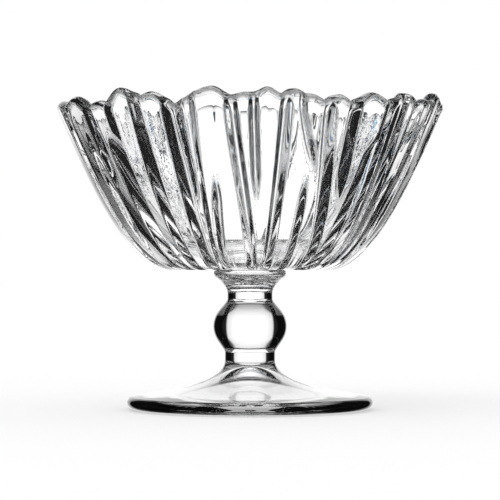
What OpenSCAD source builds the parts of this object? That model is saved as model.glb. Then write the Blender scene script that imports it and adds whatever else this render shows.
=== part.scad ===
// Footed ice cream bowl of clear pressed glass: a fluted bowl with a petalled rim on a collar,
// a stem with a ball knop, and a spreading foot. The origin is the centre of the foot's resting
// ring, +Z is up, and the front of the bowl faces -Y. All sizes are in millimetres.

/* [Bowl] */
// Diameter over the ribs at the rim
rim_d = 125.2; // [110:0.2:146]
// Height from the flat underside to the mean level of the petalled rim
bowl_h = 54; // [46:1:64]
// Diameter of the flat underside
base_d = 52; // [46:1:60]
// How far the underside's line runs on before it turns up into the wall
turn_reach = 15; // [12:1:19]
// How far the wall runs straight below the rim
rim_reach = 20; // [14:1:26]
// Lean of the wall at the rim, in degrees from upright
rim_lean = 24; // [18:1:28]
// Glass left behind the bottom of a groove
wall_t = 1.8; // [1.4:0.1:3]
// Glass between the floor inside and the flat underside
floor_t = 5; // [4:0.1:7]
// Glass at the turn from the floor to the wall, measured outwards
turn_t = 8; // [6:0.5:10]

/* [Ribs and grooves] */
// Depth of a groove between its flanks
groove_depth = 3.2; // [2:0.1:4]
// Width of an ordinary groove
groove_w = 4.2; // [3.4:0.1:5.2]
// Share of a groove's width that is its flat bottom
groove_flat = 0.2; // [0.1:0.05:0.4]
// Share of the groove's depth that is left at the underside
groove_low_share = 0.6; // [0.4:0.05:0.8]
// Share of the groove's depth that still cuts the lip
groove_lip_share = 0.5; // [0.3:0.05:0.8]

/* [Rim] */
// Height of the rounded lip
lip_h = 2.2; // [1.6:0.1:3]
// How much the petals' rise and fall is exaggerated
petal_scale = 1; // [0.6:0.05:1.3]

/* [Collar] */
// Diameter of the collar at its widest
collar_d = 23.6; // [22.4:0.1:30]
// Height of the collar
collar_h = 3.8; // [3:0.1:6]
// Height of its widest part above its underside
collar_crown = 2.5; // [1.6:0.1:2.8]
// Diameter of its flat top, which the bowl sits on
collar_seat_d = 21; // [19:0.1:22]

/* [Stem] */
// Height of the stem from the foot to the collar
stem_h = 25.6; // [23:0.1:34]
// Diameter of the stem's top, under the collar
stem_top_d = 19; // [16:0.1:20]
// Diameter of the upper neck
upper_neck_d = 14.6; // [12:0.1:15.6]
// Height of the upper neck's flare into the collar
flare_h = 4.2; // [3:0.1:5]
// Diameter of the lower neck, where the stem stands on the foot
lower_neck_d = 16.3; // [14:0.1:18]
// Diameter of the ball knop
knop_d = 23.9; // [21:0.1:28]
// Height of the ball knop
knop_h = 19.4; // [16:0.1:21]
// Height of the knop's middle above the stem's foot
knop_z = 11; // [10:0.1:13]
// Softness of the fillets between the knop and the necks
knop_fillet = 2.6; // [1.6:0.1:4]

/* [Foot] */
// Diameter of the foot
foot_d = 80; // [68:1:92]
// Height of the foot up to the stem
foot_h = 15.6; // [13:0.1:19]
// Thickness of the foot's round edge
edge_t = 3.9; // [3:0.1:5]
// How far the foot's top runs out flat from its edge
foot_run = 13; // [10:0.5:16]
// Slope of that flat run, in degrees
foot_slope = 8.8; // [5:0.1:12]
// Height over which the foot straightens up into the stem
foot_draw = 7.2; // [5:0.1:9]
// Width of the flat ring that the foot stands on
rest_w = 3; // [2:0.5:5]
// Glass left between the crown of the domed hollow and the stem
crown_t = 3.6; // [2.6:0.1:6]
// Half-width of the hollow's crown
crown_w = 4; // [2:0.5:6]
// How far the hollow's wall runs in from the ring before it turns up
hollow_run = 28; // [20:0.5:29]
// Slope of that run, in degrees
hollow_slope = 6; // [4:0.5:8]

/* [Hidden] */
glass = [0.86, 0.91, 0.92, 0.45];
turn_fn = 96;
// Where the collar's round edge passes into the cone below it, in degrees below level
chamfer_angle = 45;

// Levels of the pieces, each standing on the one below
stem_z = foot_h;
collar_z = stem_z + stem_h;
bowl_z = collar_z + collar_h;
floor_z = bowl_z + floor_t;
edge_z = bowl_z + bowl_h - lip_h;

// Grooves of the bowl's front half: [angle at the rim, angle at the base, low end, high end, width].
// Angles run from the front to +X, ends are shares of the bowl's height, and widths are in
// ordinary grooves. An end below 0 or above 1 runs out through the base or the rim.
OPEN_LOW = -1;
OPEN_HIGH = 2;
grooves = [
    [-90, -90, OPEN_LOW, OPEN_HIGH, 1.0],
    [-72, -70, OPEN_LOW, OPEN_HIGH, 1.1],
    [-61.5, -56.5, OPEN_LOW, 0.86, 1.0],
    [-54.5, -53.5, 0.5, OPEN_HIGH, 1.0],
    [-48, -43, OPEN_LOW, 0.87, 1.8],
    [-35, -33, OPEN_LOW, OPEN_HIGH, 1.2],
    [-24, -21.5, OPEN_LOW, OPEN_HIGH, 1.1],
    [-20, -18.5, 0.35, OPEN_HIGH, 0.8],
    [-16.5, -17, OPEN_LOW, OPEN_HIGH, 0.8],
    [-10.5, -14, OPEN_LOW, 0.58, 0.9],
    [-5.5, 1.5, OPEN_LOW, OPEN_HIGH, 1.0],
    [1, 4, 0.38, OPEN_HIGH, 0.8],
    [10.5, 9, OPEN_LOW, OPEN_HIGH, 1.0],
    [15, 39.5, 0.55, OPEN_HIGH, 0.6],
    [19, 19.5, OPEN_LOW, 0.57, 0.8],
    [23.5, 32.5, OPEN_LOW, OPEN_HIGH, 1.2],
    [31.5, 36, 0.4, OPEN_HIGH, 1.2],
    [43, 37, OPEN_LOW, 0.84, 1.4],
    [46, 47, OPEN_LOW, OPEN_HIGH, 1.1],
    [51, 53.5, OPEN_LOW, OPEN_HIGH, 0.9],
    [58.5, 58, OPEN_LOW, OPEN_HIGH, 1.0],
    [67.5, 65, OPEN_LOW, OPEN_HIGH, 1.0],
    [79.5, 76.5, OPEN_LOW, OPEN_HIGH, 1.1],
    [90, 90, OPEN_LOW, OPEN_HIGH, 1.1],
];
// Share of the height over which a groove that stops short runs out
groove_end = 0.2;
// Share of the height over which the grooves reach their full depth, and grow shallow under the lip
groove_grow = 0.4;
groove_stop = 0.04;
// How early a leaning groove swings over to its angle at the rim: 1 is a straight lean
groove_swing = 1.4;
// The back half mirrors the grooves that are at least this wide
back_least_w = 1;
// Share by which they are spread near the back's middle
back_spread = 0.25;
// Share of the grooves' depth that the back half has
back_depth = 0.9;

// The rim's petals and the dips between them: [angle, level from the mean rim]
petals = [
    [-90, -0.4], [-82, 0.3], [-72, -1.6], [-64.5, 0.8], [-55.5, -2.2], [-50, -1.2], [-46.5, -1.8],
    [-41.5, 2.4], [-34, -0.4], [-30, 0.8], [-22.5, -3.1], [-11, 2.1], [-5.5, -1], [-1.5, 0.2], [1, -0.1],
    [5, 1.8], [9, -0.3], [13, 1.3], [16, -0.1], [18.5, -0.3], [22, -2], [27, -0.2], [31, -2.3],
    [38.5, 0.8], [45, -1.7], [54, 1.2], [58.5, -1.4], [64.5, 0], [67.5, -0.6], [74.5, 2.4], [79.5, -1],
    [85, 0.6], [90, -1],
];
// Share of the bowl's height from which the walls follow the petals
petal_start = 0.55;

// Facets of the bowl: around it, up its outside, over its lip and down its inside
around = 320;
rings_up = 9;
rings_lip = 2;
rings_down = 4;

function limit(x) = min(max(x, 0), 1);
function ease(x) = let (c = limit(x)) c * c * (3 - 2 * c);
function blend_max(a, b, soft) =
    let (h = max(soft - abs(a - b), 0) / soft) max(a, b) + h * h * soft / 4;
function bezier(p, t) =
    let (u = 1 - t)
    u * u * u * p[0] + 3 * u * u * t * p[1] + 3 * u * t * t * p[2] + t * t * t * p[3];
function bezier_slope(p, t) =
    let (u = 1 - t)
    3 * u * u * (p[1] - p[0]) + 6 * u * t * (p[2] - p[1]) + 3 * t * t * (p[3] - p[2]);
function arc(centre, rx, ry, from, to, steps) =
    [for (k = [0 : steps]) let (a = from + (to - from) * k / steps) centre + [rx * cos(a), ry * sin(a)]];

// Section of the bowl, as [radius, level]: the ribs' faces outside and the smooth wall inside
rim_r = rim_d / 2;
base_r = base_d / 2;
inner_rim_r = rim_r - groove_depth - wall_t;
inner_base_r = base_r - turn_t;
lean = [sin(rim_lean), cos(rim_lean)];
outside = [
    [base_r, bowl_z],
    [base_r + turn_reach, bowl_z],
    [rim_r, edge_z] - rim_reach * lean,
    [rim_r, edge_z],
];
inside = [
    [inner_base_r, floor_z],
    [inner_base_r + turn_reach, floor_z],
    [inner_rim_r, edge_z] - rim_reach * lean,
    [inner_rim_r, edge_z],
];

function is_back(angle) = cos(angle) < 0;
// The front half's angle that has the same pattern as this angle
function pattern_angle(angle) =
    let (front = asin(sin(angle)))
    is_back(angle) ? front * (1 - back_spread * cos(front) * cos(front)) : front;
function on_back_too(groove) = groove[4] >= back_least_w;

// How far the outside lies behind the ribs' faces, at an angle, a share of the height and a radius
function one_groove(groove, angle, share, radius) =
    let (
        swing = 1 - pow(1 - limit(share), groove_swing),
        middle = groove[1] + (groove[0] - groove[1]) * swing,
        away = abs(angle - middle) * PI / 180 * radius,
        left = ease((share - groove[2]) / groove_end) * ease((groove[3] - share) / groove_end),
        half_w = groove_w / 2 * groove[4] * (1 + left) / 2
    )
    groove_depth * left * ease((1 - away / half_w) / (1 - groove_flat));
function groove_at(angle, share, radius) =
    let (
        front = pattern_angle(angle),
        back = is_back(angle),
        grown = groove_low_share + (1 - groove_low_share) * ease(share / groove_grow),
        kept = groove_lip_share + (1 - groove_lip_share) * ease((1 - share) / groove_stop)
    )
    grown * kept * (back ? back_depth : 1)
    * max([for (g = grooves) if (on_back_too(g) || !back) one_groove(g, front, share, radius)]);

// Level of the rim above or below its mean, eased from each petal to the next dip
function petal_at(angle) =
    let (
        front = asin(sin(angle)),
        k = max([for (i = [0 : len(petals) - 2]) if (front >= petals[i][0]) i]),
        from = petals[k],
        to = petals[k + 1]
    )
    petal_scale * (from[1] + (to[1] - from[1]) * ease((front - from[0]) / (to[0] - from[0])));
function petal_lift(angle, share) = petal_at(angle) * ease((share - petal_start) / (1 - petal_start));

function on_circle(p, angle) = [p[0] * sin(angle), -p[0] * cos(angle), p[1]];
function height_share(level) = (level - bowl_z) / (edge_z - bowl_z);

// Points of the section at an angle: under the bowl, up its outside, over the lip, down its inside
function under_point(angle, s) =
    let (radius = collar_d / 2 + (base_r - collar_d / 2) * s)
    [radius, bowl_z + s * groove_at(angle, 0, radius)];
function outer_point(angle, t) =
    let (
        face = bezier(outside, t),
        slope = bezier_slope(outside, t),
        inwards = [-slope[1], slope[0]] / norm(slope),
        share = height_share(face[1])
    )
    face + inwards * groove_at(angle, share, face[0]) + [0, petal_lift(angle, share)];
function inner_point(angle, t) =
    let (face = bezier(inside, t))
    face + [0, petal_lift(angle, height_share(face[1]))];
function lip_point(angle, turn) =
    let (
        out = outer_point(angle, 1),
        in = inner_point(angle, 1)
    )
    (out + in) / 2 + (out - in) / 2 * cos(turn) + [0, lip_h * sin(turn)];
function section(angle) = concat(
    [for (s = [0, 0.5]) under_point(angle, s)],
    [for (k = [0 : rings_up]) outer_point(angle, k / rings_up)],
    [for (k = [1 : rings_lip]) lip_point(angle, 180 * k / (rings_lip + 1))],
    [for (k = [0 : rings_down]) inner_point(angle, 1 - k / rings_down)]
);

module fluted_bowl() {
    sections = [for (j = [0 : around - 1]) let (a = 360 * j / around) [for (p = section(a)) on_circle(p, a)]];
    rings = len(sections[0]);
    seat = around * rings;
    floor_middle = seat + 1;
    points = concat([for (s = sections) each s], [[0, 0, bowl_z], [0, 0, floor_z]]);
    faces = [
        for (j = [0 : around - 1])
            let (
                here = j * rings,
                next = ((j + 1) % around) * rings
            )
            each concat(
                [[seat, here, next]],
                [for (k = [0 : rings - 2]) each [
                    [here + k, here + k + 1, next + k],
                    [next + k, here + k + 1, next + k + 1],
                ]],
                [[here + rings - 1, floor_middle, next + rings - 1]]
            ),
    ];
    color(glass) polyhedron(points, faces);
}

module collar() {
    edge_steps = 12;
    seat_r = collar_seat_d / 2;
    edge_h = collar_h - collar_crown;
    profile = concat(
        [[0, collar_z], [stem_top_d / 2, collar_z]],
        arc([seat_r, bowl_z - edge_h], collar_d / 2 - seat_r, edge_h, -chamfer_angle, 90, edge_steps),
        [[0, bowl_z]]
    );
    color(glass) rotate_extrude($fn = turn_fn) polygon(profile);
}

// Radius of the stem at a height above its foot: the knop blended into the necks
function knop_r(h) =
    let (rise = (h - knop_z) / (knop_h / 2))
    knop_d / 2 * sqrt(max(1 - rise * rise, 0));
function neck_r(h) =
    let (flare = limit((h - stem_h + flare_h) / flare_h))
    h < knop_z
        ? lower_neck_d / 2
        : upper_neck_d / 2 + (stem_top_d - upper_neck_d) / 2 * flare * flare;
function stem_r(h) = blend_max(knop_r(h), neck_r(h), knop_fillet);

module knop_stem() {
    steps = 48;
    profile = concat(
        [[0, stem_z]],
        [for (k = [0 : steps]) let (h = stem_h * k / steps) [stem_r(h), stem_z + h]],
        [[0, collar_z]]
    );
    color(glass) rotate_extrude($fn = turn_fn) polygon(profile);
}

module foot() {
    top_steps = 20;
    edge_steps = 10;
    hollow_steps = 20;
    edge_r = edge_t / 2;
    edge_centre = foot_d / 2 - edge_r;
    neck = stem_r(0);
    rest_r = edge_centre - rest_w;
    hollow_h = foot_h - crown_t;
    top = [
        [edge_centre, edge_t],
        [edge_centre, edge_t] + foot_run * [-1, tan(foot_slope)],
        [neck, foot_h - foot_draw],
        [neck, foot_h],
    ];
    hollow = [
        [0, hollow_h],
        [crown_w, hollow_h],
        [rest_r, 0] + hollow_run * [-1, tan(hollow_slope)],
        [rest_r, 0],
    ];
    profile = concat(
        [for (k = [0 : hollow_steps]) bezier(hollow, k / hollow_steps)],
        arc([edge_centre, edge_r], edge_r, edge_r, -90, 90, edge_steps),
        [for (k = [1 : top_steps]) bezier(top, k / top_steps)],
        [[0, foot_h]]
    );
    color(glass) rotate_extrude($fn = turn_fn) polygon(profile);
}

fluted_bowl();
collar();
knop_stem();
foot();
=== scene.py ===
import math

import bpy
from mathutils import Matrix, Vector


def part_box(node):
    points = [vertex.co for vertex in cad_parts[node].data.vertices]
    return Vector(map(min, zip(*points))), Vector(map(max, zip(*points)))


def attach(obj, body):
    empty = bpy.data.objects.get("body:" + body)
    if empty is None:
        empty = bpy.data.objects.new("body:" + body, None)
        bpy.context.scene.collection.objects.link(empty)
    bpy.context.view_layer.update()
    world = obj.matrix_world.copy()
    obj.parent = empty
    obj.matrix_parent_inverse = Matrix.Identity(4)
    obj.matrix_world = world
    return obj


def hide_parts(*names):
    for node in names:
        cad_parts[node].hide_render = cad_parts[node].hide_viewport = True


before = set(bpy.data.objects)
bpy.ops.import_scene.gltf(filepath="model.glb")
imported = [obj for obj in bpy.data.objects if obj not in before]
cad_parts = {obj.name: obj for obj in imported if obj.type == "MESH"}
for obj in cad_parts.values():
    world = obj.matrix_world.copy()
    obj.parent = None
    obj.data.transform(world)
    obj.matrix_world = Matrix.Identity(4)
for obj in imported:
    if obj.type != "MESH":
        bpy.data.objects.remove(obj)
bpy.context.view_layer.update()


# Foot: the spreading disc that the bowl stands on, pressed in clear glass with a domed hollow
# beneath it. It rests on a flat ring just inside its round edge, and its top is drawn up into
# a neck that the stem is welded to while both are hot.
foot_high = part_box("foot")[1]
foot_r = foot_high.x
foot_top = foot_high.z
edge_r = 0.00195
edge_centre = foot_r - edge_r
foot_run = 0.013
foot_slope = math.radians(8.8)
foot_draw = 0.0072
neck_r = 0.00815
rest_w = 0.003
rest_r = edge_centre - rest_w
crown_w = 0.004
crown_t = 0.0028
crown_z = foot_top - crown_t
hollow_run = 0.028
hollow_slope = math.radians(6)
under_steps = 48
edge_steps = 24
back_steps = 64

# Painted shade on the foot's glass: the span of edge-on views where it is painted, the most shade painted
# there, the share of that on its top side, and the even shade painted on its round edge.
foot_edge_on = (0.3, 0.8)
foot_dark = 0.95
foot_top_share = 0.5
painted_rim_shade = 0.8
painted_rim_w = 0.001

# A sloping line inside the glass that splits the painted shade, with the top side above it and the
# hollow's side below it.
between_z = 0.0134
between_fall = 0.42
between_soft = 0.0003

level_slack = 1e-6
sharp_angle = math.radians(50)


def bezier(corners, steps):
    """Points of a cubic curve over four corners, each a radius and a level."""
    points = []
    for k in range(steps + 1):
        t = k / steps
        shares = ((1 - t) ** 3, 3 * (1 - t) ** 2 * t, 3 * (1 - t) * t * t, t**3)
        points.append(tuple(sum(s * c[axis] for s, c in zip(shares, corners)) for axis in (0, 1)))
    return points


def arc(radius, level, wide, tall, start, end, steps):
    """Points of a round edge about a radius and a level, between two angles in degrees."""
    angles = [math.radians(start + (end - start) * k / steps) for k in range(steps + 1)]
    return [(radius + wide * math.cos(a), level + tall * math.sin(a)) for a in angles]


def turned(name, profile, joints, glass, around=256):
    """A solid turned about the upright axis; its flat faces at the joints' levels are welded glass."""
    verts = []
    rings = []
    for radius, level in profile:
        start = len(verts)
        if radius == 0:
            verts.append((0, 0, level))
            rings.append([start] * around)
            continue
        for k in range(around):
            angle = 2 * math.pi * k / around
            verts.append((radius * math.cos(angle), radius * math.sin(angle), level))
        rings.append(list(range(start, start + around)))
    faces = []
    for ring, upper in zip(rings, rings[1:]):
        for k in range(around):
            corners = (ring[k], ring[k - around + 1], upper[k - around + 1], upper[k])
            faces.append(tuple(dict.fromkeys(corners)))
    mesh = bpy.data.meshes.new(name)
    mesh.from_pydata(verts, [], faces)
    mesh.materials.append(glass)
    mesh.materials.append(welded_joint)
    for face in mesh.polygons:
        levels = [mesh.vertices[v].co.z for v in face.vertices]
        at_joint = any(max(abs(z - joint) for z in levels) < level_slack for joint in joints)
        face.material_index = int(at_joint)
    mesh.shade_smooth()
    mesh.set_sharp_from_angle(angle=sharp_angle)
    piece = bpy.data.objects.new(name, mesh)
    bpy.context.scene.collection.objects.link(piece)
    return piece


class Wire:
    """A socket of a node tree. Arithmetic on it adds Math nodes, and node() adds any other node."""

    def __init__(self, socket):
        self.socket = socket
        self.tree = socket.id_data

    def node(self, kind, settings, values, out=0):
        made = self.tree.nodes.new(kind)
        for name, value in settings.items():
            setattr(made, name, value)
        for key, value in values.items():
            if isinstance(value, Wire):
                self.tree.links.new(value.socket, made.inputs[key])
            else:
                made.inputs[key].default_value = value
        return Wire(made.outputs[out])

    def math(self, operation, *others):
        return self.node("ShaderNodeMath", {"operation": operation}, dict(enumerate((self, *others))))

    def ease(self, start, end):
        """0 at the start, 1 at the end and eased between them."""
        return self.node(
            "ShaderNodeMapRange", {"interpolation_type": "SMOOTHSTEP"}, {0: self, 1: start, 2: end}
        )

    def parts(self):
        """The three parts of a vector."""
        return [self.node("ShaderNodeSeparateXYZ", {}, {0: self}, out=k) for k in range(3)]

    def __add__(self, other):
        return self.math("ADD", other)

    def __sub__(self, other):
        return self.math("SUBTRACT", other)

    def __rsub__(self, other):
        return self.node("ShaderNodeMath", {"operation": "SUBTRACT"}, {0: other, 1: self})

    def __mul__(self, other):
        return self.math("MULTIPLY", other)

    def __truediv__(self, other):
        return self.math("DIVIDE", other)

    def __pow__(self, other):
        return self.math("POWER", other)

    __radd__ = __add__
    __rmul__ = __mul__


def clear_glass(name):
    """Clear pressed glass; returns its material, its shader and its place on the piece."""
    material = bpy.data.materials.new(name)
    material.use_nodes = True
    shader = material.node_tree.nodes["Principled BSDF"]
    shader.inputs["Base Color"].default_value = (1, 1, 1, 1)
    shader.inputs["Roughness"].default_value = 0
    shader.inputs["IOR"].default_value = 1.52
    shader.inputs["Transmission Weight"].default_value = 1
    place = Wire(material.node_tree.nodes.new("ShaderNodeTexCoord").outputs["Object"])
    return material, shader, place


def fire_polished(name, ripple_size, ripple_height):
    """Clear glass that still waves a little after the flame; returns it and its place on the piece."""
    material, shader, place = clear_glass(name)
    ripple = place.node("ShaderNodeTexNoise", {}, {"Vector": place, "Scale": 1 / ripple_size, "Detail": 1})
    bump = ripple.node("ShaderNodeBump", {}, {"Strength": 1, "Distance": ripple_height, "Height": ripple})
    material.node_tree.links.new(bump.socket, shader.inputs["Normal"])
    return material, place


def paint_edge_on_shade(material, span, dark, where, even_shade=None):
    """Paints shade into the glass's colour where it is seen edge-on, within the given places, and an even
    painted shade where one is given.
    """
    shader = material.node_tree.nodes["Principled BSDF"]
    edge_on = Wire(material.node_tree.nodes.new("ShaderNodeLayerWeight").outputs["Facing"])
    painted_shade = edge_on.ease(*span) * dark * where
    if even_shade:
        painted_shade = painted_shade.math("MAXIMUM", even_shade)
    shaded_colour = 1 - painted_shade
    shaded_colour = shaded_colour.node("ShaderNodeCombineColor", {}, {0: shaded_colour, 1: shaded_colour, 2: shaded_colour})
    material.node_tree.links.new(shaded_colour.socket, shader.inputs["Base Color"])


welded_joint = bpy.data.materials.new("welded_joint")
welded_joint.use_nodes = True
welded_joint.node_tree.nodes["Principled BSDF"].inputs["Alpha"].default_value = 0

foot_under = bezier(
    [
        (0, crown_z),
        (crown_w, crown_z),
        (rest_r - hollow_run, hollow_run * math.tan(hollow_slope)),
        (rest_r, 0),
    ],
    under_steps,
)
foot_edge = arc(edge_centre, edge_r, edge_r, edge_r, -90, 90, edge_steps)
foot_back = bezier(
    [
        (edge_centre, 2 * edge_r),
        (edge_centre - foot_run, 2 * edge_r + foot_run * math.tan(foot_slope)),
        (neck_r, foot_top - foot_draw),
        (neck_r, foot_top),
    ],
    back_steps,
)
foot_glass, foot_place = fire_polished("foot_glass", ripple_size=0.012, ripple_height=0.00005)
foot_x, foot_y, foot_level = foot_place.parts()
from_axis = (foot_x**2 + foot_y**2) ** 0.5
in_hollow = (between_z - from_axis * between_fall - foot_level).ease(-between_soft, between_soft)
on_edge = from_axis.ease(edge_centre - painted_rim_w, edge_centre) * foot_level.ease(2 * edge_r, edge_r)
foot_share = in_hollow * (1 - foot_top_share) + foot_top_share
# The foot's glass is painted darker where it is seen edge-on, half as much on its top side, and painted
# dark on its round edge.
paint_edge_on_shade(foot_glass, foot_edge_on, foot_dark, foot_share, on_edge * painted_rim_shade)
foot = turned(
    "foot_glass", foot_under + foot_edge + foot_back[1:] + [(0, foot_top)], [foot_top], foot_glass
)
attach(foot, "root")
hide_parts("foot")


# Stem: a short gather of clear glass shaped while hot into two slim necks with a ball knop
# between them. It stands on the foot's neck, and its top flares out under the collar.
stem_low, stem_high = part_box("knop_stem")
stem_bottom = stem_low.z
stem_top = stem_high.z
knop_r = stem_high.x
knop_half_h = 0.0097
knop_z = 0.011
knop_middle = stem_bottom + knop_z
knop_fillet = 0.0026
upper_neck_r = 0.0073
stem_top_r = 0.0095
flare_h = 0.0042
stem_steps = 160
# Painted shade on the stem's glass: the span of edge-on views where it is painted and the most shade
# painted there.
stem_edge_on = (0.3, 0.37)
stem_dark = 0.97


def stem_radius(level):
    """The ball blended into the neck below it or above it."""
    rise = (level - knop_middle) / knop_half_h
    ball = knop_r * math.sqrt(max(1 - rise * rise, 0))
    flare = max(1 - (stem_top - level) / flare_h, 0)
    neck = neck_r if level < knop_middle else upper_neck_r + (stem_top_r - upper_neck_r) * flare**2
    near = max(knop_fillet - abs(ball - neck), 0) / knop_fillet
    return max(ball, neck) + near * near * knop_fillet / 4


stem_levels = [stem_bottom + (stem_top - stem_bottom) * k / stem_steps for k in range(stem_steps + 1)]
stem_glass, stem_place = fire_polished("stem_glass", ripple_size=0.01, ripple_height=0.00002)
below_flare = stem_place.parts()[2].ease(stem_top - flare_h / 2, stem_top - flare_h)
# The stem's glass is painted darker where it is seen edge-on, except at its flare.
paint_edge_on_shade(stem_glass, stem_edge_on, stem_dark, below_flare)
stem = turned(
    "stem_glass",
    [(0, stem_bottom)] + [(stem_radius(z), z) for z in stem_levels] + [(0, stem_top)],
    [stem_bottom, stem_top],
    stem_glass,
)
# The foot's top would mirror the stem far more strongly than it does on the real one.
stem.visible_glossy = False
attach(stem, "root")
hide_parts("knop_stem")


# Collar: a small disc of clear glass with a round edge and a coned underside, which glassmakers
# call a merese. It is welded between the stem's flare and the flat underside of the bowl.
collar_low, collar_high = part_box("collar")
collar_r = collar_high.x
seat_r = 0.0105
collar_edge_h = 0.0013
chamfer_angle = 45

collar_edge = arc(
    seat_r,
    collar_high.z - collar_edge_h,
    collar_r - seat_r,
    collar_edge_h,
    -chamfer_angle,
    90,
    edge_steps,
)
collar_glass, _ = fire_polished("collar_glass", ripple_size=0.006, ripple_height=0.00002)
collar = turned(
    "collar_glass",
    [(0, collar_low.z), (stem_top_r, collar_low.z)] + collar_edge + [(0, collar_high.z)],
    [collar_low.z, collar_high.z],
    collar_glass,
)
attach(collar, "root")
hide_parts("collar")


# Bowl: clear glass pressed into a mould cut with irregular upright grooves, over a smooth
# plunger, so that it is fluted outside and plain inside. Its rim was flame-polished into
# petals, and its flat underside is welded onto the collar.
bowl_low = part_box("fluted_bowl")[0]
floor_thickness = 0.0043
bowl_sizes = {
    "Rim radius": 0.0626,
    "Rim level": 0.0968,
    "Base radius": 0.026,
    "Base level": bowl_low.z,
    "Turn reach": 0.015,
    "Rim reach": 0.02,
    "Rim lean": math.radians(24),
    "Wall": 0.0018,
    "Floor level": bowl_low.z + floor_thickness,
    "Turn thickness": 0.008,
    "Lip height": 0.0022,
    "Groove depth": 0.0032,
    "Groove width": 0.0048,
    "Seat radius": seat_r,
}
groove_flat = 0.15
groove_low_share = 0.6
groove_lip_share = 0.5
groove_taper = 0.3
groove_tip = 0.5
groove_end = 0.2
groove_grow = 0.4
groove_stop = 0.04
groove_swing = 1.4
back_least_w = 1
back_spread = 0.25
back_depth = 0.9
petal_start = 0.55
petal_round = 0.65
bowl_around = 1100
rings_under = 6
rings_up = 50
rings_lip = 9
rings_down = 20
rings_floor = 2

# Each groove: its angles at the rim and at the base, the shares of the height where it starts
# and ends, and its width in ordinary grooves. None means that it runs out past the base or rim.
grooves = [
    (-90, -90, None, None, 1.0),
    (-72, -70, None, None, 1.05),
    (-61.5, -56.5, None, 0.86, 1.0),
    (-54.5, -53.5, 0.5, None, 1.0),
    (-48, -43, None, 0.87, 1.5),
    (-35, -33, None, None, 1.1),
    (-24, -21.5, None, None, 1.05),
    (-20, -18.5, 0.35, None, 0.6),
    (-16.5, -17, None, None, 0.4),
    (-10.5, -14, None, 0.58, 0.85),
    (-5.5, 1.5, None, None, 1.0),
    (1, 4, 0.38, None, 0.75),
    (10.5, 9, None, None, 1.0),
    (15, 39.5, 0.55, None, 0.6),
    (19, 19.5, None, 0.57, 0.75),
    (23.5, 32.5, None, None, 1.1),
    (31.5, 36, 0.4, None, 1.1),
    (43, 37, None, 0.84, 1.2),
    (46, 47, None, None, 1.05),
    (51, 53.5, None, None, 0.85),
    (58.5, 58, None, None, 1.0),
    (67.5, 65, None, None, 1.0),
    (79.5, 76.5, None, None, 1.05),
    (90, 90, None, None, 1.05),
]

# The rim's petals and the dips between them: an angle, and a level from the mean rim in millimetres.
petals = [
    (-90, -0.4), (-82, 0.3), (-72, -1.6), (-64.5, 0.8), (-55.5, -2.2), (-50, -1.2), (-46.5, -1.8),
    (-41.5, 2.4), (-34, -0.4), (-30, 0.8), (-22.5, -3.1), (-11, 2.1), (-5.5, -1), (-1.5, 0.2), (1, -0.1),
    (5, 1.8), (9, -0.3), (13, 1.3), (16, -0.1), (18.5, -0.3), (22, -2), (27, -0.2), (31, -2.3),
    (38.5, 0.8), (45, -1.7), (54, 1.2), (58.5, -1.4), (64.5, 0), (67.5, -0.6), (74.5, 2.4), (79.5, -1),
    (85, 0.6), (90, -1),
]

# Ribs whose faces chilled against the mould: angle, half-width in degrees, and shares of the height.
chilled_ribs = [(-41.5, 5, 0.4, 0.98), (-29.5, 4, 0.15, 0.95), (17, 4, 0.5, 0.78), (37, 7, 0.5, 0.95)]
chill_edge = 0.1
wrinkle_scale = 420
wrinkle_twist = 1.5
wrinkle_height = 0.00008
stipple_top = 0.14
stipple_scale = 1100
stipple_height = 0.00001

# Painted shade on the bowl's glass: the span of edge-on views where it is painted and the most shade
# painted there, the shares of the height where that starts, is full and fades towards the rim, and the
# even shade painted on the lip.
wall_edge_on = (0.25, 0.7)
wall_dark = 0.92
wall_start = 0.08
wall_full = 0.3
wall_fade = 0.75
wall_over_lip = 0.6
lip_begin = 0.01
painted_lip_shade = 0.72
lip_spread = 0.5
seam_gap = 1e-6
seat_slack = 0.0001

bowl_tree = bpy.data.node_groups.new("fluted_bowl", "GeometryNodeTree")
bowl_tree.interface.new_socket("Geometry", in_out="OUTPUT", socket_type="NodeSocketGeometry")
size_sockets = {
    name: bowl_tree.interface.new_socket(name, in_out="INPUT", socket_type="NodeSocketFloat").identifier
    for name in bowl_sizes
}
size_node = bowl_tree.nodes.new("NodeGroupInput")
size = {name: Wire(size_node.outputs[name]) for name in bowl_sizes}

# A flat sheet whose columns run round the bowl, and whose rows run under it, up it and down inside.
bowl_rows = rings_under + rings_up + rings_lip + rings_down + rings_floor
sheet = size["Rim radius"].node(
    "GeometryNodeMeshGrid", {}, {0: 1.0, 1: float(bowl_rows), 2: bowl_around + 1, 3: bowl_rows + 1}
)
sheet_x, sheet_y, _ = sheet.node("GeometryNodeInputPosition", {}, {}).parts()
angle = sheet_x * (2 * math.pi)
row = sheet_y + bowl_rows / 2


def share_of_rows(first, count):
    """0 up to the first row, 1 after so many more rows, and even between them."""
    return row.node("ShaderNodeMapRange", {}, {0: row, 1: float(first), 2: float(first + count)})


seat_t = share_of_rows(0, 1)
under_t = share_of_rows(1, rings_under - 1)
up_t = share_of_rows(rings_under, rings_up)
lip_t = share_of_rows(rings_under + rings_up, rings_lip)
down_t = share_of_rows(rings_under + rings_up + rings_lip, rings_down)
floor_t = share_of_rows(bowl_rows - rings_floor, rings_floor)


def curve_at(corners, t):
    """A cubic curve through sockets, and its slope."""
    u = 1 - t
    a, b, c, d = corners
    value = u**3 * a + 3 * u**2 * t * b + 3 * u * t**2 * c + t**3 * d
    slope = u**2 * (b - a) + 2 * u * t * (c - b) + t**2 * (d - c)
    return value, slope


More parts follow.
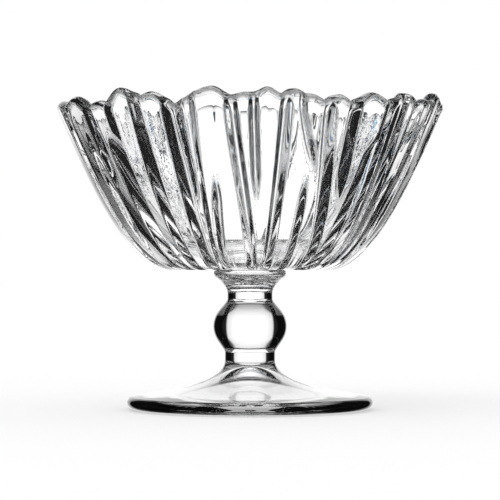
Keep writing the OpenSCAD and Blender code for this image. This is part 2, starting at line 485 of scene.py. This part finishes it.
rim_back = size["Rim reach"] * size["Rim lean"].math("SINE")
rim_drop = size["Rim reach"] * size["Rim lean"].math("COSINE")
inner_rim = size["Rim radius"] - size["Groove depth"] - size["Wall"]
inner_base = size["Base radius"] - size["Turn thickness"]
face_r, slope_r = curve_at(
    [
        size["Base radius"],
        size["Base radius"] + size["Turn reach"],
        size["Rim radius"] - rim_back,
        size["Rim radius"],
    ],
    up_t,
)
face_z, slope_z = curve_at(
    [size["Base level"], size["Base level"], size["Rim level"] - rim_drop, size["Rim level"]], up_t
)
inner_r, _ = curve_at(
    [inner_base, inner_base + size["Turn reach"], inner_rim - rim_back, inner_rim], 1 - down_t
)
inner_z, _ = curve_at(
    [size["Floor level"], size["Floor level"], size["Rim level"] - rim_drop, size["Rim level"]],
    1 - down_t,
)
under_r = size["Seat radius"] * seat_t + (size["Base radius"] - size["Seat radius"]) * under_t
radius = face_r - size["Base radius"] + under_r
bowl_h = size["Rim level"] - size["Base level"]
share = (face_z - size["Base level"]) / bowl_h
inner_share = (inner_z - size["Base level"]) / bowl_h

# The back half mirrors the front's pattern, spread a little near its middle.
front = angle.math("SINE").math("ARCSINE")
facing = angle.math("COSINE")
back = facing.math("LESS_THAN", 0)
pattern = front * (1 - back * facing**2 * back_spread)
swing = 1 - (1 - share) ** groove_swing
groove_reach = radius**groove_taper * size["Rim radius"] ** (1 - groove_taper)
cut = None
for rim_angle, base_angle, low, high, width in grooves:
    middle = swing * math.radians(rim_angle - base_angle) + math.radians(base_angle)
    away = (pattern - middle).math("ABSOLUTE") * groove_reach
    half_w = size["Groove width"] * (width / 2)
    left = None
    if low is not None:
        left = share.ease(low, low + groove_end)
    if high is not None:
        left = share.ease(high, high - groove_end)
    if left:
        half_w = half_w * (left * (1 - groove_tip) + groove_tip)
    groove = away.node("ShaderNodeMapRange", {}, {0: away, 1: half_w, 2: half_w * groove_flat})
    if left:
        groove = groove * left
    if width < back_least_w:
        groove = groove * (1 - back)
    cut = cut.math("MAXIMUM", groove) if cut else groove
grown = share.ease(0, groove_grow) * (1 - groove_low_share) + groove_low_share
kept = share.ease(1, 1 - groove_stop) * (1 - groove_lip_share) + groove_lip_share
depth = size["Groove depth"] * cut * grown * kept * (1 - back * (1 - back_depth)) * under_t

lift = None
for (from_angle, from_level), (to_angle, to_level) in zip(petals, petals[1:]):
    step = front.ease(math.radians(from_angle), math.radians(to_angle))
    step = step**petal_round if to_level > from_level else 1 - (1 - step) ** petal_round
    step = step * ((to_level - from_level) / 1000)
    lift = lift + step if lift else step + petals[0][1] / 1000

slope_length = (slope_r**2 + slope_z**2) ** 0.5
outer_r = radius - slope_z / slope_length * depth
outer_z = face_z + slope_r / slope_length * depth + lift * share.ease(petal_start, 1)
inner_z = inner_z + lift * inner_share.ease(petal_start, 1)
lip_turn = lip_t * math.pi
over = lip_turn.math("COSINE") * 0.5 + 0.5
point_r = inner_r + (outer_r - inner_r) * over - inner_base * floor_t
point_z = inner_z + (outer_z - inner_z) * over + size["Lip height"] * lip_turn.math("SINE")
point = angle.node(
    "ShaderNodeCombineXYZ",
    {},
    {0: point_r * angle.math("SINE"), 1: point_r * angle.math("COSINE") * -1, 2: point_z},
)

# Marks that the shader reads: the patches where the glass chilled and wrinkled against the mould,
# the stippled foot of the wall, the wall that is painted darker edge-on, and the lip, which is painted
# dark.
chill = None
for chill_angle, half_angle, low, high in chilled_ribs:
    off_rib = (front - math.radians(chill_angle)).math("ABSOLUTE")
    patch = off_rib.ease(math.radians(half_angle), math.radians(half_angle / 2))
    patch = patch * share.ease(low, low + chill_edge) * share.ease(high, high - chill_edge)
    chill = chill.math("MAXIMUM", patch) if chill else patch
on_outside = lip_t.math("LESS_THAN", lip_begin)
on_wall = share.ease(wall_start, wall_full)
marks = {
    "chill": chill * on_outside,
    "stipple": share.ease(stipple_top, 0) * on_outside,
    "wall": on_wall * share.ease(1, wall_fade) * lip_t.math("LESS_THAN", wall_over_lip),
    "lip": lip_turn.math("SINE") ** lip_spread,
}
for name, mark in marks.items():
    sheet = sheet.node(
        "GeometryNodeStoreNamedAttribute",
        {"data_type": "FLOAT", "domain": "POINT"},
        {"Geometry": sheet, "Name": name, "Value": mark},
    )

bowl_glass, bowl_shader, bowl_place = clear_glass("bowl_glass")
seen = {
    name: bowl_place.node("ShaderNodeAttribute", {"attribute_name": name}, {}, out=2) for name in marks
}
wrinkle = bowl_place.node(
    "ShaderNodeTexNoise",
    {},
    {"Vector": bowl_place, "Scale": wrinkle_scale, "Detail": 2, "Distortion": wrinkle_twist},
)
stipple = bowl_place.node(
    "ShaderNodeTexNoise", {}, {"Vector": bowl_place, "Scale": stipple_scale, "Detail": 1}
)
relief = wrinkle * seen["chill"] * wrinkle_height + stipple * seen["stipple"] * stipple_height
relief = relief.node("ShaderNodeBump", {}, {"Strength": 1, "Distance": 1, "Height": relief})
bowl_glass.node_tree.links.new(relief.socket, bowl_shader.inputs["Normal"])
# The bowl's wall is painted darker where it is seen edge-on, and its lip is painted dark.
paint_edge_on_shade(bowl_glass, wall_edge_on, wall_dark, seen["wall"], seen["lip"] * painted_lip_shade)

surface = sheet.node("GeometryNodeSetPosition", {}, {"Geometry": sheet, "Position": point})
surface = surface.node("GeometryNodeMergeByDistance", {}, {"Geometry": surface, "Distance": seam_gap})
surface = surface.node("GeometryNodeSetShadeSmooth", {}, {"Geometry": surface})
surface = surface.node("GeometryNodeRealizeInstances", {}, {"Geometry": surface})
surface = surface.node("GeometryNodeSetMaterial", {}, {"Geometry": surface, "Material": bowl_glass})
bowl_x, bowl_y, bowl_level = surface.node("GeometryNodeInputPosition", {}, {}).parts()
on_seat = ((bowl_x**2 + bowl_y**2) ** 0.5).math("LESS_THAN", size["Seat radius"])
on_seat = on_seat * bowl_level.math("LESS_THAN", size["Base level"] + seat_slack)
surface = surface.node(
    "GeometryNodeSetMaterial", {}, {"Geometry": surface, "Selection": on_seat, "Material": welded_joint}
)
bowl_tree.links.new(surface.socket, bowl_tree.nodes.new("NodeGroupOutput").inputs[0])

bowl_maker = bpy.data.objects.new("bowl_maker", bpy.data.meshes.new("bowl_maker"))
bpy.context.scene.collection.objects.link(bowl_maker)
bowl_modifier = bowl_maker.modifiers.new("fluted_bowl", "NODES")
bowl_modifier.node_group = bowl_tree
for name, identifier in size_sockets.items():
    bowl_modifier[identifier] = bowl_sizes[name]
depsgraph = bpy.context.evaluated_depsgraph_get()
bowl_mesh = bpy.data.meshes.new_from_object(bowl_maker.evaluated_get(depsgraph))
bowl_maker.modifiers.remove(bowl_modifier)
bpy.data.objects.remove(bowl_maker)
bowl_mesh.name = "bowl_glass"
bowl = bpy.data.objects.new("bowl_glass", bowl_mesh)
bpy.context.scene.collection.objects.link(bowl)
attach(bowl, "root")
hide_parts("fluted_bowl")


# Studio: a pale floor under an even white light. The glass alone sees a lit panel behind the bowl,
# dark cloth round the panel, which draws the glass's edges, and paler walls, table, floor and ceiling.
floor_half = 3.0
floor_level = -0.0005
floor_grey = 0.5
floor_glow = 0.45
floor_corners = [(-1, -1), (1, -1), (1, 1), (-1, 1)]
floor_mesh = bpy.data.meshes.new("floor")
floor_verts = [(x * floor_half, y * floor_half, floor_level) for x, y in floor_corners]
floor_mesh.from_pydata(floor_verts, [], [(0, 1, 2, 3)])
floor = bpy.data.objects.new("floor", floor_mesh)
bpy.context.scene.collection.objects.link(floor)
floor.visible_glossy = False
floor.visible_transmission = False
floor_paint = bpy.data.materials.new("floor_paint")
floor_paint.use_nodes = True
floor_shader = floor_paint.node_tree.nodes["Principled BSDF"]
floor_shader.inputs["Base Color"].default_value = (floor_grey, floor_grey, floor_grey, 1)
floor_shader.inputs["Roughness"].default_value = 1
floor_shader.inputs["Specular IOR Level"].default_value = 0
floor_shader.inputs["Emission Color"].default_value = (1, 1, 1, 1)
floor_shader.inputs["Emission Strength"].default_value = floor_glow
floor_mesh.materials.append(floor_paint)

# The studio's limits are angles round from its back and up from its floor, in degrees.
panel_half = 29
panel_rise = 33
cloth_end = 75
table_from = -16
table_turn = 40
floor_from = -37
ceiling_from = 40
edge_soft = 2

# Light that the glass has mirrored comes from less of the floor and the ceiling.
mirror_floor_from = -64
mirror_ceiling_from = 66
mirror_ceiling_turn = 60
mirror_turn_soft = 5

panel_light = 1.18
panel_side_fall = 0.25
panel_top_fall = 0.3
panel_foot_fall = 0.7
cloth_light = 0.015
wall_light = 0.6
table_light = 0.7
under_light = 0.7
ceiling_light = 1.05
fringes = (-0.4, 0, 0.4)
plain_crossings = 2

sky = bpy.data.worlds.new("studio_light")
bpy.context.scene.world = sky
sky.use_nodes = True
sky_nodes = sky.node_tree.nodes
direction = Wire(sky_nodes.new("ShaderNodeTexCoord").outputs["Generated"])
east, north, up = direction.parts()
turn = east.math("ARCTAN2", north).math("ABSOLUTE") * (180 / math.pi)
rise = up.math("ARCSINE") * (180 / math.pi)
ray = sky_nodes.new("ShaderNodeLightPath")
unmirrored = Wire(ray.outputs["Glossy Depth"]).math("LESS_THAN", 0.5)
in_glass = Wire(ray.outputs["Is Transmission Ray"]).math("MAXIMUM", Wire(ray.outputs["Is Glossy Ray"]))
side_fall = turn.ease(panel_half / 2, panel_half) * panel_side_fall
top_fall = rise.ease(panel_rise / 3, panel_rise) * panel_top_fall
foot_fall = rise.ease(-panel_rise / 4, -panel_rise) * panel_foot_fall
panel_shade = (1 - side_fall) * (1 - top_fall) * (1 - foot_fall)
walls = turn.ease(cloth_end - edge_soft, cloth_end + edge_soft)
walls = walls * rise.ease(panel_rise + edge_soft, panel_rise - edge_soft)
table = rise.ease(table_from + edge_soft, table_from - edge_soft)
table = table * turn.ease(table_turn - edge_soft, table_turn)
under = rise.ease(floor_from + edge_soft, floor_from - edge_soft)
under_mirrored = rise.ease(mirror_floor_from + edge_soft, mirror_floor_from - edge_soft)
ceiling = rise.ease(ceiling_from - edge_soft, ceiling_from + edge_soft)
ceiling_mirrored = rise.ease(mirror_ceiling_from - edge_soft, mirror_ceiling_from + edge_soft)
beside = turn.ease(mirror_ceiling_turn, mirror_ceiling_turn + mirror_turn_soft)
ceiling = ceiling * unmirrored.math("MAXIMUM", ceiling_mirrored.math("MAXIMUM", beside))
others = (walls * wall_light).math("MAXIMUM", under * under_light).math("MAXIMUM", table * table_light)
others = (others * unmirrored).math("MAXIMUM", under_mirrored).math("MAXIMUM", ceiling * ceiling_light)

# Each further wall of glass splits light into colours, so each colour sees the panel's edge at its
# own angle.
crossings = (Wire(ray.outputs["Transmission Depth"]) - plain_crossings).math("MAXIMUM", 0)
sky_colours = []
for fringe in fringes:
    half = panel_half + crossings * fringe
    high = panel_rise + crossings * fringe
    across = turn.ease(half + edge_soft, half - edge_soft)
    upright = rise.math("ABSOLUTE").ease(high + edge_soft, high - edge_soft)
    lit = (across * upright * panel_shade).math("MAXIMUM", others)
    glass_light = lit * (panel_light - cloth_light) + cloth_light
    sky_colours.append(1 + in_glass * (glass_light - 1))
sky_colour = direction.node("ShaderNodeCombineColor", {}, dict(enumerate(sky_colours)))
sky.node_tree.links.new(sky_colour.socket, sky_nodes["Background"].inputs["Color"])

lamp = bpy.data.lights.new("soft_lamp", "SUN")
lamp.energy = 0.4
lamp.angle = math.radians(40)
lamp_object = bpy.data.objects.new("soft_lamp", lamp)
lamp_object.rotation_euler = (math.radians(35), 0, math.radians(-35))
lamp_object.visible_glossy = False
lamp_object.visible_transmission = False
bpy.context.scene.collection.objects.link(lamp_object)

camera = bpy.data.cameras.new("camera")
camera.sensor_width = 36
camera.lens = 187.2
camera_object = bpy.data.objects.new("camera", camera)
camera_object.location = (0, -0.845, 0.05135)
camera_object.rotation_euler = (math.radians(90), 0, 0)
bpy.context.scene.collection.objects.link(camera_object)

scene = bpy.context.scene
scene.camera = camera_object
scene.view_settings.view_transform = "Standard"
scene.cycles.max_bounces = 10
scene.cycles.transmission_bounces = 32
scene.cycles.glossy_bounces = 16
scene.cycles.transparent_max_bounces = 16
